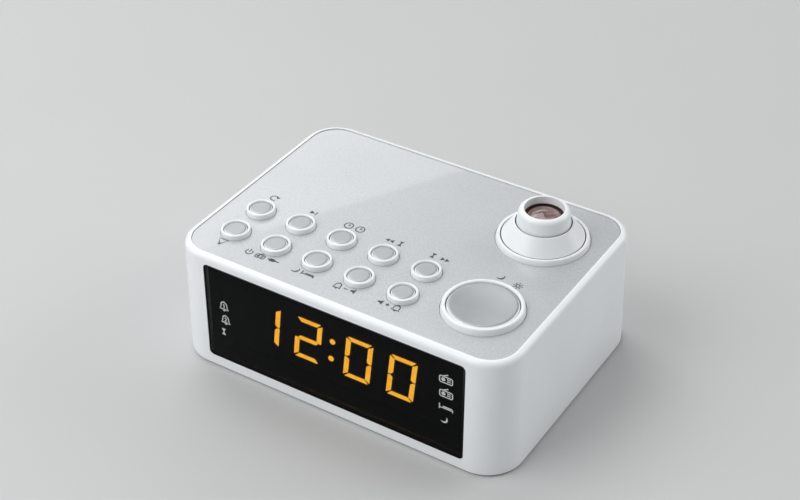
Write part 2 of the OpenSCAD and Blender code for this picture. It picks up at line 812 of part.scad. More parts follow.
module lit_bars() color(amber) {
    for (i = [0:3], bar = lit[i])
        translate([digit_x(i), display_y - block_t, digit_z]) rotate([90, 0, 0]) linear_extrude(bar_t)
            polygon([for (p = bar_shape(bar)) [p[0] + p[1] * tan(digit_slant), p[1]]]);
    for (h = colon_heights)
        translate([colon_x + h * digit_h * tan(digit_slant), display_y - block_t, digit_z + h * digit_h])
            rotate([90, 0, 0]) cylinder(h = bar_t, d = dot_d);
}

module digit_block() color(black)
    translate([digit_x(0) - block_edge, display_y - block_t, digit_z - block_edge])
        cube([digit_x(3) - digit_x(0) + digit_w + 2 * block_edge + digit_h * tan(digit_slant), block_t,
              digit_h + 2 * block_edge]);

module display_board() color(board_green)
    translate([-display_w / 2, display_y, display_low]) cube([display_w, board_t, display_h]);

// Slotted upright that the display board's edge slides into
module card_guide(side) {
    inner = display_w / 2 - guide_grip;
    difference() {
        translate([side * (inner + guide_w / 2) - guide_w / 2, display_y - 1.6, floor_z - eps])
            cube([guide_w, board_t + 3.2, guide_h]);
        translate([side * (inner + guide_grip / 2) - guide_grip / 2 - play, display_y - play,
                   display_low - play])
            cube([guide_grip + 2 * play, board_t + 2 * play, display_h]);
    }
}

// Box over the battery bay, solid
module bay_box() {
    translate([bay_x - bay_l / 2 - bay_wall, bay_y - bay_w / 2 - bay_wall, base_z])
        cube([bay_l + 2 * bay_wall, bay_w + 2 * bay_wall, door_t + bay_h + bay_wall]);
}

// Hole for a small screw whose head rests at height seat
module pilot(at, seat) {
    post(at, small_pilot_r, seat - screw_l - tip_gap, seat);
}

module speaker_grille() {
    for (y = [-grille_r + slot_pitch / 2:slot_pitch:grille_r]) {
        half = sqrt(grille_r * grille_r - y * y);
        translate([speaker_x - half, speaker_y + y - slot_w / 2, 0]) cube([2 * half, slot_w, floor_z + 1]);
    }
}

function speaker_holes() = [for (sx = [-1, 1], sy = [-1, 1])
    [speaker_x + sx * speaker_hole, speaker_y + sy * speaker_hole]];
function strap_holes() = [for (side = [-1, 1])
    [trafo_x + side * (core_w / 2 + strap_t + play + strap_foot / 2), trafo_y]];

module base_cover() color(white) difference() {
    union() {
        plate(body_w - 2 * (wall + base_gap), body_d - 2 * (wall + base_gap),
              corner_r - wall - base_gap, base_t, base_z);
        bay_box();
        for (at = main_posts) post(at, small_boss_r, floor_z - eps, main_board_z);
        for (at = speaker_holes()) post(at, small_boss_r, floor_z - eps, plate_z);
        for (at = strap_holes()) post(at, small_boss_r, floor_z - eps, floor_z + strap_seat);
        for (side = [-1, 1]) card_guide(side);
    }
    translate([bay_x - bay_l / 2, bay_y - bay_w / 2, 0]) cube([bay_l, bay_w, base_z + door_t + bay_h]);
    translate([bay_x, bay_y, 0]) linear_extrude(base_z + door_t)
        square([door_l + 2 * door_gap, door_w + 2 * door_gap], center = true);
    speaker_grille();
    for (sx = [-1, 1], sy = [-1, 1]) {
        post([sx * boss_x, sy * boss_y], case_screw_r + 0.2, 0, body_h);
        post([sx * boss_x, sy * boss_y], case_head_r + head_gap, 0, base_z + case_head_h + 0.1);
        post([sx * foot_x, sy * foot_y], foot_d / 2 + 0.2, 0, base_z + foot_recess);
    }
    for (at = main_posts) pilot(at, main_board_z + board_t);
    for (at = speaker_holes()) pilot(at, plate_z + plate_t);
    for (at = strap_holes()) pilot(at, floor_z + strap_seat + strap_t);
}

module battery_door() color(white) difference() {
    translate([bay_x, bay_y, base_z]) linear_extrude(door_t) square([door_l, door_w], center = true);
    translate([bay_x + door_l / 2 - notch_r, bay_y, base_z + notch_t - notch_r]) sphere(notch_r);
}

// Coil spring contact of one cell, seen as a stack of rings that narrows towards the cell
module battery_spring(y) {
    turns = 4;
    wire = 0.5;
    translate([bay_x - bay_l / 2 + contact_t, y, base_z + door_t + bay_h / 2]) rotate([0, 90, 0])
        rotate_extrude() for (i = [0:turns - 1])
            translate([spring_d / 2 - i * 0.45, wire + i * wire * 1.5]) circle(wire, $fn = 24);
}

module battery_springs() color(steel) for (side = [-1, 1]) battery_spring(bay_y + side * cell_pitch / 2);

module battery_plates() color(steel) {
    z = base_z + door_t + bay_h / 2;
    pair_w = cell_pitch + contact_w;
    translate([bay_x - bay_l / 2, bay_y - pair_w / 2, z - contact_h / 2])
        cube([contact_t, pair_w, contact_h]);
    for (side = [-1, 1])
        translate([bay_x + bay_l / 2 - contact_t, bay_y + (side * cell_pitch - contact_w) / 2,
                   z - contact_h / 2])
            cube([contact_t, contact_w, contact_h]);
}

module main_board() color(board_green) difference() {
    translate([main_x - main_w / 2, main_y - main_d / 2, main_board_z]) cube([main_w, main_d, board_t]);
    for (at = main_posts) post(at, small_hole_r, 0, body_h);
}

// Chips on the main board: [x and y from the board's middle, width, depth, height]
chip_list = [[-12, -12, 12, 12, 2], [10, -18, 10, 7, 2.4], [-16, 12, 9, 6, 2.2]];

module chips() color(black) for (c = chip_list)
    translate([main_x + c[0] - c[2] / 2, main_y + c[1] - c[3] / 2, main_board_z + board_t])
        cube([c[2], c[3], c[4]]);

// Capacitors on the main board: [x and y from the board's middle, diameter, height]
capacitor_list = [[19, 12, 10, 12], [10, 23, 8, 10], [6, 12, 6.3, 8], [-2, 20, 5, 7], [-21, -24, 5, 4],
                  [20, -26, 6.3, 4]];

module capacitors() color("#2c3a57") for (c = capacitor_list)
    post([main_x + c[0], main_y + c[1]], c[2] / 2, main_board_z + board_t, main_board_z + board_t + c[3]);

module aux_socket() color(black) difference() {
    union() {
        translate([aux_x - aux_body[0] / 2, rear_y(aux_z) - wall - 0.6 - aux_body[1], main_board_z + board_t])
            cube(aux_body);
        translate([aux_x, rear_y(aux_z) - wall - 1, aux_z]) rotate([-90, 0, 0])
            cylinder(h = wall + 0.8, r = aux_nose_r);
    }
    translate([aux_x, rear_y(aux_z) - wall - 11, aux_z]) rotate([-90, 0, 0]) cylinder(h = 30, r = aux_r);
}

module cord_gland() color(white) {
    outer = rear_y(gland_z);
    translate([gland_x, 0, gland_z]) rotate([-90, 0, 0]) rotate_extrude() polygon([
        [gland_r, outer - wall - 2], [gland_sleeve_r + 0.9, outer - wall - 2],
        [gland_sleeve_r + 0.9, outer - wall - 0.3], [gland_sleeve_r, outer - wall - 0.3],
        [gland_sleeve_r, outer - gland_recess], [gland_flange_r, outer - gland_recess],
        [gland_flange_r, outer - 0.3], [gland_r, outer - 0.3]]);
}

module ferrite_rod() color("#4a4a4c")
    translate([rod_x - rod_l / 2, rod_y, rod_z]) rotate([0, 90, 0]) cylinder(h = rod_l, r = rod_r);

module aerial_coil() color("#b4713d") translate([rod_x - coil_l / 2, rod_y, rod_z]) rotate([0, 90, 0])
    difference() {
        cylinder(h = coil_l, r = rod_r + coil_out);
        translate([0, 0, -1]) cylinder(h = coil_l + 2, r = rod_r + play);
    }

module speaker_frame() color(steel) translate([speaker_x, speaker_y, 0]) difference() {
    union() {
        translate([0, 0, plate_z]) linear_extrude(plate_t) rounded_outline(speaker_w, speaker_w, 6);
        translate([0, 0, basket_z - eps]) cylinder(h = basket_h + eps, r1 = basket_low_r + basket_wall,
                                                   r2 = basket_top_r + basket_wall);
    }
    translate([0, 0, plate_z - 1]) cylinder(h = plate_t + 1 + eps, r = basket_low_r);
    translate([0, 0, basket_z]) cylinder(h = basket_h - 1, r1 = basket_low_r, r2 = basket_top_r + 0.6);
    translate([0, 0, basket_z]) cylinder(h = basket_h + 1, r = coil_r + 1.4);
    for (a = [0:3]) rotate(a * 90) translate([basket_top_r, -7, basket_z + 1.6])
        cube([body_w, 14, basket_h - 4]);
    for (sx = [-1, 1], sy = [-1, 1]) post([sx * speaker_hole, sy * speaker_hole], small_hole_r, 0, body_h);
}

module speaker_gasket() color("#2a2a2b") translate([speaker_x, speaker_y, floor_z]) difference() {
    cylinder(h = gasket_t, r = basket_low_r + 2);
    translate([0, 0, -1]) cylinder(h = gasket_t + 2, r = cone_r + 0.6);
}

module speaker_magnet() color("#55565a") translate([speaker_x, speaker_y, 0]) rotate_extrude() polygon([
    [0, magnet_z + 0.4], [coil_r - 0.9, magnet_z + 0.4], [coil_r - 0.9, magnet_z + magnet_h - 1.4],
    [coil_r + 1.8, magnet_z + magnet_h - 1.4], [coil_r + 1.8, magnet_z + 1.4], [coil_r + 0.9, magnet_z + 1.4],
    [coil_r + 0.9, magnet_z], [magnet_d / 2 - 1, magnet_z], [magnet_d / 2, magnet_z + 1.4],
    [magnet_d / 2, magnet_z + magnet_h - 1.4], [magnet_d / 2 - 1, magnet_z + magnet_h],
    [0, magnet_z + magnet_h]]);

// Paper cone with its rim below and its voice coil in the magnet's gap
module speaker_cone() color("#3a3a3c") translate([speaker_x, speaker_y, basket_z]) rotate_extrude() polygon([
    [0, cone_h - 0.8], [coil_r, cone_h], [cone_r - cone_rim, 0.3], [cone_r, 0.3], [cone_r, 0.3 + paper_t],
    [cone_r - cone_rim + 0.1, 0.3 + paper_t], [coil_r + coil_t, cone_h + paper_t],
    [coil_r + coil_t, basket_h + coil_dip], [coil_r, basket_h + coil_dip], [coil_r, cone_h + paper_t],
    [0, cone_h - 0.8 + paper_t]]);

module transformer_core() color("#6c6f73") translate([trafo_x, trafo_y, floor_z]) difference() {
    translate([-core_w / 2, -core_t / 2, 0]) cube([core_w, core_t, core_h]);
    for (side = [-1, 1]) translate([side * (leg + core_window / 2) - core_window / 2, -core_t, core_yoke])
        cube([core_window, 2 * core_t, core_h - 2 * core_yoke]);
}

module transformer_winding() color("#c9b27a") translate([trafo_x, trafo_y, floor_z]) difference() {
    translate([-leg - core_window + play, -core_t / 2 - coil_over, core_yoke + play])
        cube([2 * (leg + core_window - play), core_t + 2 * coil_over, core_h - 2 * core_yoke - 2 * play]);
    translate([-leg - play, -core_t / 2 - play, 0]) cube([2 * (leg + play), core_t + 2 * play, core_h]);
}

module transformer_strap() color(steel) difference() {
    half = core_w / 2 + play;
    seat = floor_z + strap_seat;
    top = floor_z + core_h + play;
    translate([trafo_x, trafo_y + strap_w / 2, 0]) rotate([90, 0, 0]) linear_extrude(strap_w) polygon([
        [-half - strap_t - strap_foot, seat], [-half, seat], [-half, top], [half, top], [half, seat],
        [half + strap_t + strap_foot, seat], [half + strap_t + strap_foot, seat + strap_t],
        [half + strap_t, seat + strap_t], [half + strap_t, top + strap_t], [-half - strap_t, top + strap_t],
        [-half - strap_t, seat + strap_t], [-half - strap_t - strap_foot, seat + strap_t]]);
    for (at = strap_holes()) post(at, small_hole_r, 0, seat + strap_t + 1);
}

module rubber_feet() color("#2a2b2c") for (sx = [-1, 1], sy = [-1, 1])
    post([sx * foot_x, sy * foot_y], foot_d / 2, 0, base_z + foot_recess);

module case_screws() color(steel) for (sx = [-1, 1], sy = [-1, 1]) {
    post([sx * boss_x, sy * boss_y], case_head_r, base_z + 0.1, base_z + 0.1 + case_head_h);
    post([sx * boss_x, sy * boss_y], case_screw_r, base_z + case_head_h, base_z + case_screw_l);
}

// Small screw with its head's seat at z; up is 1 where the head is above the seat, -1 where it is below
module small_screw(at, z, up) {
    translate([at[0], at[1], z]) mirror([0, 0, up > 0 ? 0 : 1]) {
        cylinder(h = screw_head_h, r = screw_head_r);
        translate([0, 0, -screw_l]) cylinder(h = screw_l + eps, r = screw_r);
    }
}

module board_screws() color(steel) {
    for (at = key_board_bosses) small_screw(at, key_board_z, -1);
    for (a = ear_angles) small_screw(round_proj(ear_r, a), retainer_z, -1);
    for (at = main_posts) small_screw(at, main_board_z + board_t, 1);
    for (at = strap_holes()) small_screw(at, floor_z + strap_seat + strap_t, 1);
    for (at = speaker_holes()) small_screw(at, plate_z + plate_t, 1);
}

housing();
base_cover();
top_panel();
display_window();
snooze_key();
plunger([snooze_x, snooze_y]);  // plunger_snooze
for (i = [0:len(key_ids) - 1]) round_key(i);
for (i = [0:len(key_ids) - 1]) plunger(key_at(i));
key_board();
switch_bodies();
projector_turret();
turret_retainer();
focus_ring();
lens_tube();
projector_lens();
lamp_house();
lcd_shutter();
condenser_lens();
projector_led();
display_board();
digit_block();
lit_bars();
main_board();
chips();
capacitors();
aux_socket();
cord_gland();
ferrite_rod();
aerial_coil();
speaker_frame();
speaker_gasket();
speaker_magnet();
speaker_cone();
transformer_core();
transformer_winding();
transformer_strap();
battery_door();
battery_springs();
battery_plates();
rubber_feet();
case_screws();
board_screws();
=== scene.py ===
import json
import math
import bpy
import bmesh
from mathutils import Matrix, Vector


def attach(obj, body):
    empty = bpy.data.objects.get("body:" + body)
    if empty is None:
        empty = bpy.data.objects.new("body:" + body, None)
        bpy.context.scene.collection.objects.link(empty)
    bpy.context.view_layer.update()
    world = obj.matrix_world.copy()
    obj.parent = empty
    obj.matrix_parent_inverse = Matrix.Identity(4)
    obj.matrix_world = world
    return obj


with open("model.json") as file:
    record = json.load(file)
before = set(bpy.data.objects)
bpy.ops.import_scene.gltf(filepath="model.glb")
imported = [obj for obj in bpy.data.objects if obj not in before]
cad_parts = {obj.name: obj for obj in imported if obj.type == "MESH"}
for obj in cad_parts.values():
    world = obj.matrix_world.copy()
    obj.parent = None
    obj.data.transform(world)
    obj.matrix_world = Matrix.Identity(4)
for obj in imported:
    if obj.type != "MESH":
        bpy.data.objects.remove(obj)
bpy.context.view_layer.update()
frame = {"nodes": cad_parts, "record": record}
nodes = frame["nodes"]
mm = 0.001
print("frame loaded:", len(nodes), "nodes")


def linear(hexColour):
    # sRGB hex value to the linear colour that a shader wants
    raw = [int(hexColour[i:i + 2], 16) / 255 for i in (1, 3, 5)]
    return [c / 12.92 if c <= 0.04045 else ((c + 0.055) / 1.055) ** 2.4 for c in raw] + [1.0]


def addNode(tree, kind, inputs=None, **settings):
    # a node with its settings; an input that is itself a socket becomes a link
    node = tree.nodes.new(kind)
    for key, value in settings.items():
        setattr(node, key, value)
    for key, value in (inputs or {}).items():
        if isinstance(value, bpy.types.NodeSocket):
            tree.links.new(value, node.inputs[key])
        else:
            node.inputs[key].default_value = value
    return node


def newMaterial(name):
    material = bpy.data.materials.new(name)
    material.use_nodes = True
    material.node_tree.nodes.clear()
    return material, material.node_tree


def principled(tree, inputs):
    shader = addNode(tree, "ShaderNodeBsdfPrincipled", inputs)
    addNode(tree, "ShaderNodeOutputMaterial", {"Surface": shader.outputs[0]})


def grainNoise(tree, size, stretch=(1, 1, 1), detail=3.0):
    # size is that of one grain in millimetres; stretch makes it longer along an axis
    place = addNode(tree, "ShaderNodeTexCoord")
    mapped = addNode(tree, "ShaderNodeMapping", {
        "Vector": place.outputs["Object"], "Scale": [1 / (size * mm * s) for s in stretch]})
    return addNode(tree, "ShaderNodeTexNoise", {
        "Vector": mapped.outputs[0], "Scale": 1.0, "Detail": detail, "Roughness": 0.55}).outputs["Fac"]


noiseSpan = (0.3, 0.7)   # nearly all values of a noise lie between these


def spread(tree, noise, low, high):
    bottom, top = noiseSpan
    return addNode(tree, "ShaderNodeMapRange", {
        "Value": noise, "From Min": bottom, "From Max": top, "To Min": low, "To Max": high}).outputs[0]


def blend(tree, factor, first, second):
    return addNode(tree, "ShaderNodeMix", {
        "Factor": factor, "A": first, "B": second}, data_type="RGBA").outputs["Result"]


def tonesOf(tree, factor, tones):
    return blend(tree, factor, linear(tones[0]), linear(tones[1]))


def shadeGaps(tree, tone, look):
    # painted shade: a darker tone where a surface is close by, as in the narrow gaps between mouldings
    closed, clear = look["gapOpen"]
    near = addNode(tree, "ShaderNodeAmbientOcclusion", {"Distance": look["gapReach"] * mm}, samples=8)
    isOpen = addNode(tree, "ShaderNodeMapRange", {
        "Value": near.outputs["AO"], "From Min": closed, "From Max": clear})
    return blend(tree, isOpen.outputs[0], linear(look["gapShadeTone"]), tone)


def flatShare(tree, look):
    # one on faces that look up, zero on the slopes round them
    place = addNode(tree, "ShaderNodeTexCoord")
    split = addNode(tree, "ShaderNodeSeparateXYZ", {"Vector": place.outputs["Normal"]})
    steep, level = (math.cos(math.radians(angle)) for angle in look["slope"])
    return addNode(tree, "ShaderNodeMapRange", {
        "Value": split.outputs["Z"], "From Min": steep, "From Max": level}).outputs[0]


def relief(tree, height, depth):
    return addNode(tree, "ShaderNodeBump", {
        "Height": height, "Distance": depth * mm, "Strength": 1.0}).outputs[0]


def makeFinish(look):
    # slow drift between two tones, and a fine grain that shows in relief and in roughness
    material, tree = newMaterial(look["name"])
    drift = spread(tree, grainNoise(tree, look["drift"], detail=2.0), 0.0, 1.0)
    grain = grainNoise(tree, look["grain"], look.get("stretch", (1, 1, 1)))
    tone = tonesOf(tree, drift, look["tones"])
    # painted shade in the gaps of the mouldings
    if "gapShadeTone" in look:
        tone = shadeGaps(tree, tone, look)
    metallic = look.get("metallic", 0.0)
    # the slopes take the edge tone: white plastic, partly a painted highlight on the rounded edge
    if "edgeTone" in look:
        flat = flatShare(tree, look)
        tone = blend(tree, flat, linear(look["edgeTone"]), tone)
        metallic = addNode(tree, "ShaderNodeMath", {0: flat, 1: metallic},
                           operation="MULTIPLY").outputs[0]
    inputs = {
        "Base Color": tone,
        "Roughness": spread(tree, grain, *look["rough"]),
        "Metallic": metallic,
        "Coat Weight": look.get("coat", 0.0),
        "Coat Roughness": look.get("coatRough", 0.1),
        "Specular IOR Level": look.get("specular", 0.5),
        "Normal": relief(tree, grain, look["relief"])}
    if "ior" in look:
        inputs["IOR"] = look["ior"]
    principled(tree, inputs)
    return material


# sizes of drift, grain, relief and gap reach in millimetres
# gap open: the free share of the view from a point at which it counts as closed, and as clear
# slope: degrees from level at which the edge tone is full, and at which it begins

# what the white mouldings share
white = {"tones": ("#eceff1", "#f1f4f6"), "drift": 40, "grain": 0.9, "relief": 0.004,
         "rough": (0.34, 0.42), "coat": 0.12, "coatRough": 0.2, "ior": 1.53, "gapOpen": (0.15, 0.5)}

looks = {
    # bright even white; the faint orange-peel keeps its highlights soft, and its gaps get a grey painted
    # shade
    "case_white": {**white, "name": "mouldedWhiteAbs", "gapReach": 0.8, "gapShadeTone": "#8a8d90"},
    # the same white; the running gaps of the turret and the barrel are deep and get a nearly black painted
    # shade
    "turret_white": {**white, "name": "turnedWhiteAbs", "gapReach": 1.0, "gapShadeTone": "#1c1d1e"},
    # light grey sheet whose clear lacquer mirrors the soft lights weakly
    "panel_silver": {"name": "lacqueredSilverSheet", "tones": ("#bcc0c3", "#c1c5c8"), "drift": 60,
                     "grain": 0.25, "relief": 0.0012, "rough": (0.24, 0.32), "metallic": 0.3,
                     "coat": 0.7, "coatRough": 0.03},
    # darker satin silver, brushed along the case, on the top of a white key whose rounded edge stays bare;
    # that white edge is partly a painted highlight on the bevel
    "key_silver": {"name": "brushedSilverPaint", "tones": ("#a6a9ac", "#acb0b2"), "drift": 12,
                   "grain": 0.3, "stretch": (9, 1, 1), "relief": 0.0015, "rough": (0.28, 0.36),
                   "metallic": 0.55, "edgeTone": white["tones"][1], "slope": (36, 28)},
    # matt black, so that nothing inside shines through the gaps
    "black_plastic": {"name": "mouldedBlackAbs", "tones": ("#141516", "#1a1b1d"), "drift": 8,
                      "grain": 0.5, "relief": 0.01, "rough": (0.4, 0.55), "ior": 1.53},
    # bluish grey metal with the spangle of a zinc bath
    "steel": {"name": "zincPlatedSteel", "tones": ("#a9acae", "#c0c2c3"), "drift": 5, "grain": 0.4,
              "relief": 0.004, "rough": (0.28, 0.42), "metallic": 1.0},
    # dark iron with the edges of its stacked plates
    "core_iron": {"name": "stackedIronPlates", "tones": ("#4c4e50", "#6b6d6f"), "drift": 6, "grain": 0.5,
                  "stretch": (30, 1, 30), "relief": 0.05, "rough": (0.4, 0.6), "metallic": 1.0},
    # yellow tape that shows the turns under it
    "winding": {"name": "tapedCopperWinding", "tones": ("#b7903f", "#cfae62"), "drift": 7, "grain": 0.6,
                "stretch": (1, 1, 12), "relief": 0.03, "rough": (0.35, 0.5)},
    # green lacquer over copper, slightly uneven
    "circuit_board": {"name": "solderMaskedLaminate", "tones": ("#1e4f33", "#2b6a45"), "drift": 4,
                      "grain": 0.8, "relief": 0.02, "rough": (0.3, 0.42)},
    # dark blue sleeve, tight and half glossy
    "capacitor_sleeve": {"name": "shrunkPvcSleeve", "tones": ("#1b2740", "#26365a"), "drift": 4,
                         "grain": 0.8, "relief": 0.01, "rough": (0.25, 0.4)},
    # dull grey-black like fired clay
    "ferrite": {"name": "sinteredFerrite", "tones": ("#2e2e30", "#3c3c3f"), "drift": 5, "grain": 0.5,
                "relief": 0.03, "rough": (0.5, 0.7)},
    # reddish turns side by side along the rod
    "copper_wire": {"name": "enamelledCopperWire", "tones": ("#9b5a30", "#b87440"), "drift": 5,
                    "grain": 0.35, "stretch": (1, 20, 20), "relief": 0.05, "rough": (0.25, 0.4),
                    "metallic": 1.0},
    # deep red resin
    "red_diode": {"name": "castRedEpoxy", "tones": ("#9a1f1a", "#b52c24"), "drift": 4, "grain": 0.5,
                  "relief": 0.01, "rough": (0.2, 0.3)},
    # dull dark fibres
    "cone_paper": {"name": "pressedConePaper", "tones": ("#2b2b2d", "#38383b"), "drift": 4, "grain": 0.4,
                   "relief": 0.06, "rough": (0.7, 0.85)},
    # soft black that takes hardly any light
    "foot_rubber": {"name": "mouldedRubber", "tones": ("#161617", "#202122"), "drift": 4, "grain": 0.5,
                    "relief": 0.03, "rough": (0.6, 0.75)},
}

# wave, its depth and dust in millimetres
window = {"name": "smokedAcrylicSheet", "tint": "#050607", "opacity": 0.8, "wave": 25, "waveDepth": 0.02,
          "dust": 0.7, "rough": (0.03, 0.06), "ior": 1.49, "specular": 0.08}


def makeWindow(look):
    # polished and nearly black: only the digits' light comes through it
    material, tree = newMaterial(look["name"])
    principled(tree, {
        "Base Color": linear(look["tint"]),
        "Roughness": spread(tree, grainNoise(tree, look["dust"]), *look["rough"]),
        "IOR": look["ior"],
        "Alpha": look["opacity"],
        "Specular IOR Level": look["specular"],
        "Normal": relief(tree, grainNoise(tree, look["wave"], detail=1.0), look["waveDepth"])})
    return material


digits = {"name": "litAmberEpoxy", "tones": ("#e69e28", "#eeb03c"), "cloud": 2.5, "rough": 0.4,
          "glow": 26.0}


def makeDigits(look):
    # even amber light, a little deeper where the epoxy is cloudy
    material, tree = newMaterial(look["name"])
    cloud = spread(tree, grainNoise(tree, look["cloud"], detail=1.0), 0.0, 1.0)
    colour = tonesOf(tree, cloud, look["tones"])
    principled(tree, {"Base Color": colour, "Roughness": look["rough"],
                      "Emission Color": colour, "Emission Strength": look["glow"]})
    return material


lens = {"name": "coatedAcrylicLens", "tint": "#bba9ac", "glow": "#ff6a5a", "glowStrength": 0.035,
        "dust": 0.8, "rough": (0.02, 0.05), "ior": 1.49, "clear": 0.85, "coat": 0.6, "coatRough": 0.03}


def makeLens(look):
    # violet-grey glass with a sharp highlight, and a painted red glow that stands in for the light of the
    # diode below it
    material, tree = newMaterial(look["name"])
    principled(tree, {
        "Base Color": linear(look["tint"]),
        "Roughness": spread(tree, grainNoise(tree, look["dust"]), *look["rough"]),
        "IOR": look["ior"],
        "Transmission Weight": look["clear"],
        "Coat Weight": look["coat"],
        "Coat Roughness": look["coatRough"],
        # painted glow in place of the diode's light
        "Emission Color": linear(look["glow"]),
        "Emission Strength": look["glowStrength"]})
    return material


finishes = {slot: makeFinish(look) for slot, look in looks.items()}
finishes["smoked_window"] = makeWindow(window)
finishes["lit_amber"] = makeDigits(digits)
finishes["clear_lens"] = makeLens(lens)

smooth = {"sharpAngle": 28, "weld": 0.0005}   # degrees, and millimetres between points that are one


def smoothGroup(look):
    # curved faces shaded smooth, edges over the angle kept sharp
    group = bpy.data.node_groups.new("smoothByAngle", "GeometryNodeTree")
    for way in ("INPUT", "OUTPUT"):
        group.interface.new_socket("Geometry", in_out=way, socket_type="NodeSocketGeometry")
    start = addNode(group, "NodeGroupInput")
    welded = addNode(group, "GeometryNodeMergeByDistance", {
        "Geometry": start.outputs[0], "Distance": look["weld"] * mm})
    angle = addNode(group, "GeometryNodeInputMeshEdgeAngle")
    isSharp = addNode(group, "FunctionNodeCompare", {
        "A": angle.outputs[0], "B": math.radians(look["sharpAngle"])}, operation="GREATER_THAN")
    faces = addNode(group, "GeometryNodeSetShadeSmooth", {
        "Geometry": welded.outputs[0], "Shade Smooth": True}, domain="FACE")
    edges = addNode(group, "GeometryNodeSetShadeSmooth", {
        "Geometry": faces.outputs[0], "Selection": isSharp.outputs[0], "Shade Smooth": False},
        domain="EDGE")
    addNode(group, "NodeGroupOutput", {0: edges.outputs[0]})
    return group


smoothing = smoothGroup(smooth)


def dress(obj, material):
    obj.data.materials.clear()
    obj.data.materials.append(material)
    obj.modifiers.new("smooth", "NODES").node_group = smoothing
    weighted = obj.modifiers.new("weighted", "WEIGHTED_NORMAL")
    weighted.keep_sharp = True


# nodes that don't take the finish of their slot
ownFinish = {"projector_turret": "turret_white", "focus_ring": "turret_white"}

for part in frame["record"]["subparts"]:
    finish = ownFinish.get(part["node"], part["material_slot"])
    dress(nodes[part["node"]], finishes[finish])
print("finishes assigned")


def arc(cx, cy, r, start, end, steps=20):
    angles = [math.radians(start + (end - start) * i / steps) for i in range(steps + 1)]
    return [(cx + r * math.cos(a), cy + r * math.sin(a)) for a in angles]


def box(x0, y0, x1, y1):
    return [(x0, y0), (x1, y0), (x1, y1), (x0, y1)]


def rays(count, near, far):
    turns = [2 * math.pi * k / count for k in range(count)]
    return [[(r * math.cos(t), r * math.sin(t)) for r in (near, far)] for t in turns]


moon = arc(0, 0, 0.5, 210, 420) + arc(-0.17, 0.17, 0.495, 392, 238)[1:-1]
bell = [(-0.5, -0.32), (-0.34, -0.1)] + arc(0, 0.12, 0.33, 180, 0, 12) + [(0.34, -0.1), (0.5, -0.32)]
bellParts = [[(-0.13, -0.47), (0.13, -0.47)], [(0, 0.44), (0, 0.56)]]
radio = [(-0.62, -0.28), (-0.54, -0.36), (0.54, -0.36), (0.62, -0.28), (0.62, 0.2), (0.54, 0.28),
         (-0.54, 0.28), (-0.62, 0.2)]
radioParts = [[(-0.36, 0.28), (0.2, 0.58)], [(0.1, 0.08), (0.44, 0.08)], [(0.1, -0.14), (0.44, -0.14)]]
one = [(-0.1, 0.14), (0.01, 0.24), (0.01, -0.2)]
two = [(-0.12, 0.16), (0, 0.24), (0.12, 0.13), (-0.12, -0.18), (0.14, -0.18)]

# general signs, each about one high round its own middle: open lines, closed lines and filled shapes
signs = {
    "rotate": {"open": [arc(0, 0, 0.42, 40, 320)], "fill": [[(0.14, 0.4), (0.66, 0.34), (0.32, 0.0)]]},
    "power": {"open": [arc(0, 0, 0.42, 130, 410), [(0, 0.02), (0, 0.55)]]},
    "radio": {"closed": [radio], "open": radioParts, "fill": [arc(-0.26, -0.04, 0.2, 0, 340, 12)]},
    "plug": {"open": [[(-0.85, 0), (-0.6, 0)], [(0.15, -0.12), (0.15, 0.12)]],
             "fill": [box(-0.6, -0.24, 0.05, 0.24), box(0.05, -0.08, 0.62, 0.08)]},
    "moon": {"fill": [moon]},
    "bed": {"open": [[(-0.75, 0.32), (-0.75, -0.35)], [(0.75, 0), (0.75, -0.35)],
                     [(-0.75, -0.14), (0.75, -0.14)]],
            "fill": [box(-0.35, -0.04, 0.7, 0.12)]},
    "bell": {"closed": [bell], "open": bellParts},
    "bellOne": {"closed": [bell], "open": bellParts + [one]},
    "bellTwo": {"closed": [bell], "open": bellParts + [two]},
    "speaker": {"fill": [[(-0.35, -0.14), (-0.1, -0.14), (0.2, -0.4), (0.2, 0.4), (-0.1, 0.14),
                          (-0.35, 0.14)]]},
    "plus": {"open": [[(-0.28, 0), (0.28, 0)], [(0, -0.28), (0, 0.28)]]},
    "minus": {"open": [[(-0.28, 0), (0.28, 0)]]},
    "back": {"fill": [[(0, -0.3), (0, 0.3), (-0.5, 0)], [(0.55, -0.3), (0.55, 0.3), (0.05, 0)]]},
    "forward": {"fill": [[(0, -0.3), (0.5, 0), (0, 0.3)], [(-0.55, -0.3), (-0.05, 0), (-0.55, 0.3)]]},
    "clock": {"closed": [arc(0, 0, 0.5, 0, 345, 23)], "open": [[(0, 0.3), (0, 0), (0.22, 0.1)]]},
    "skip": {"fill": [[(-0.5, -0.34), (0.15, 0), (-0.5, 0.34)]], "open": [[(0.34, -0.34), (0.34, 0.34)]]},
    "beam": {"closed": [[(-0.16, -0.2), (0.16, -0.2), (0.6, 0.5), (-0.6, 0.5)]],
             "fill": [box(-0.2, -0.52, 0.2, -0.3)]},
    "glass": {"fill": [[(-0.32, 0.5), (-0.04, 0), (0.04, 0), (0.32, 0.5)],
                       [(-0.32, -0.5), (0.32, -0.5), (0.04, 0), (-0.04, 0)]]},
    "sun": {"closed": [arc(0, 0, 0.22, 0, 345, 15)], "open": rays(8, 0.36, 0.55)},
}


def ribbon(bm, points, width, closed=False):
    # flat line of even width along points in the XY plane
    pts = [Vector(p) for p in points]
    count = len(pts)
    sides = []
    for i, p in enumerate(pts):
        before = pts[i - 1] if i or closed else p
        after = pts[(i + 1) % count] if i < count - 1 or closed else p
        along = (after - before).normalized()
        across = Vector((-along.y, along.x)) * width / 2
        sides.append([bm.verts.new((*(p + way * across), 0)) for way in (1, -1)])
    for i in range(count if closed else count - 1):
        a, b = sides[i], sides[(i + 1) % count]
        bm.faces.new((a[0], a[1], b[1], b[0]))


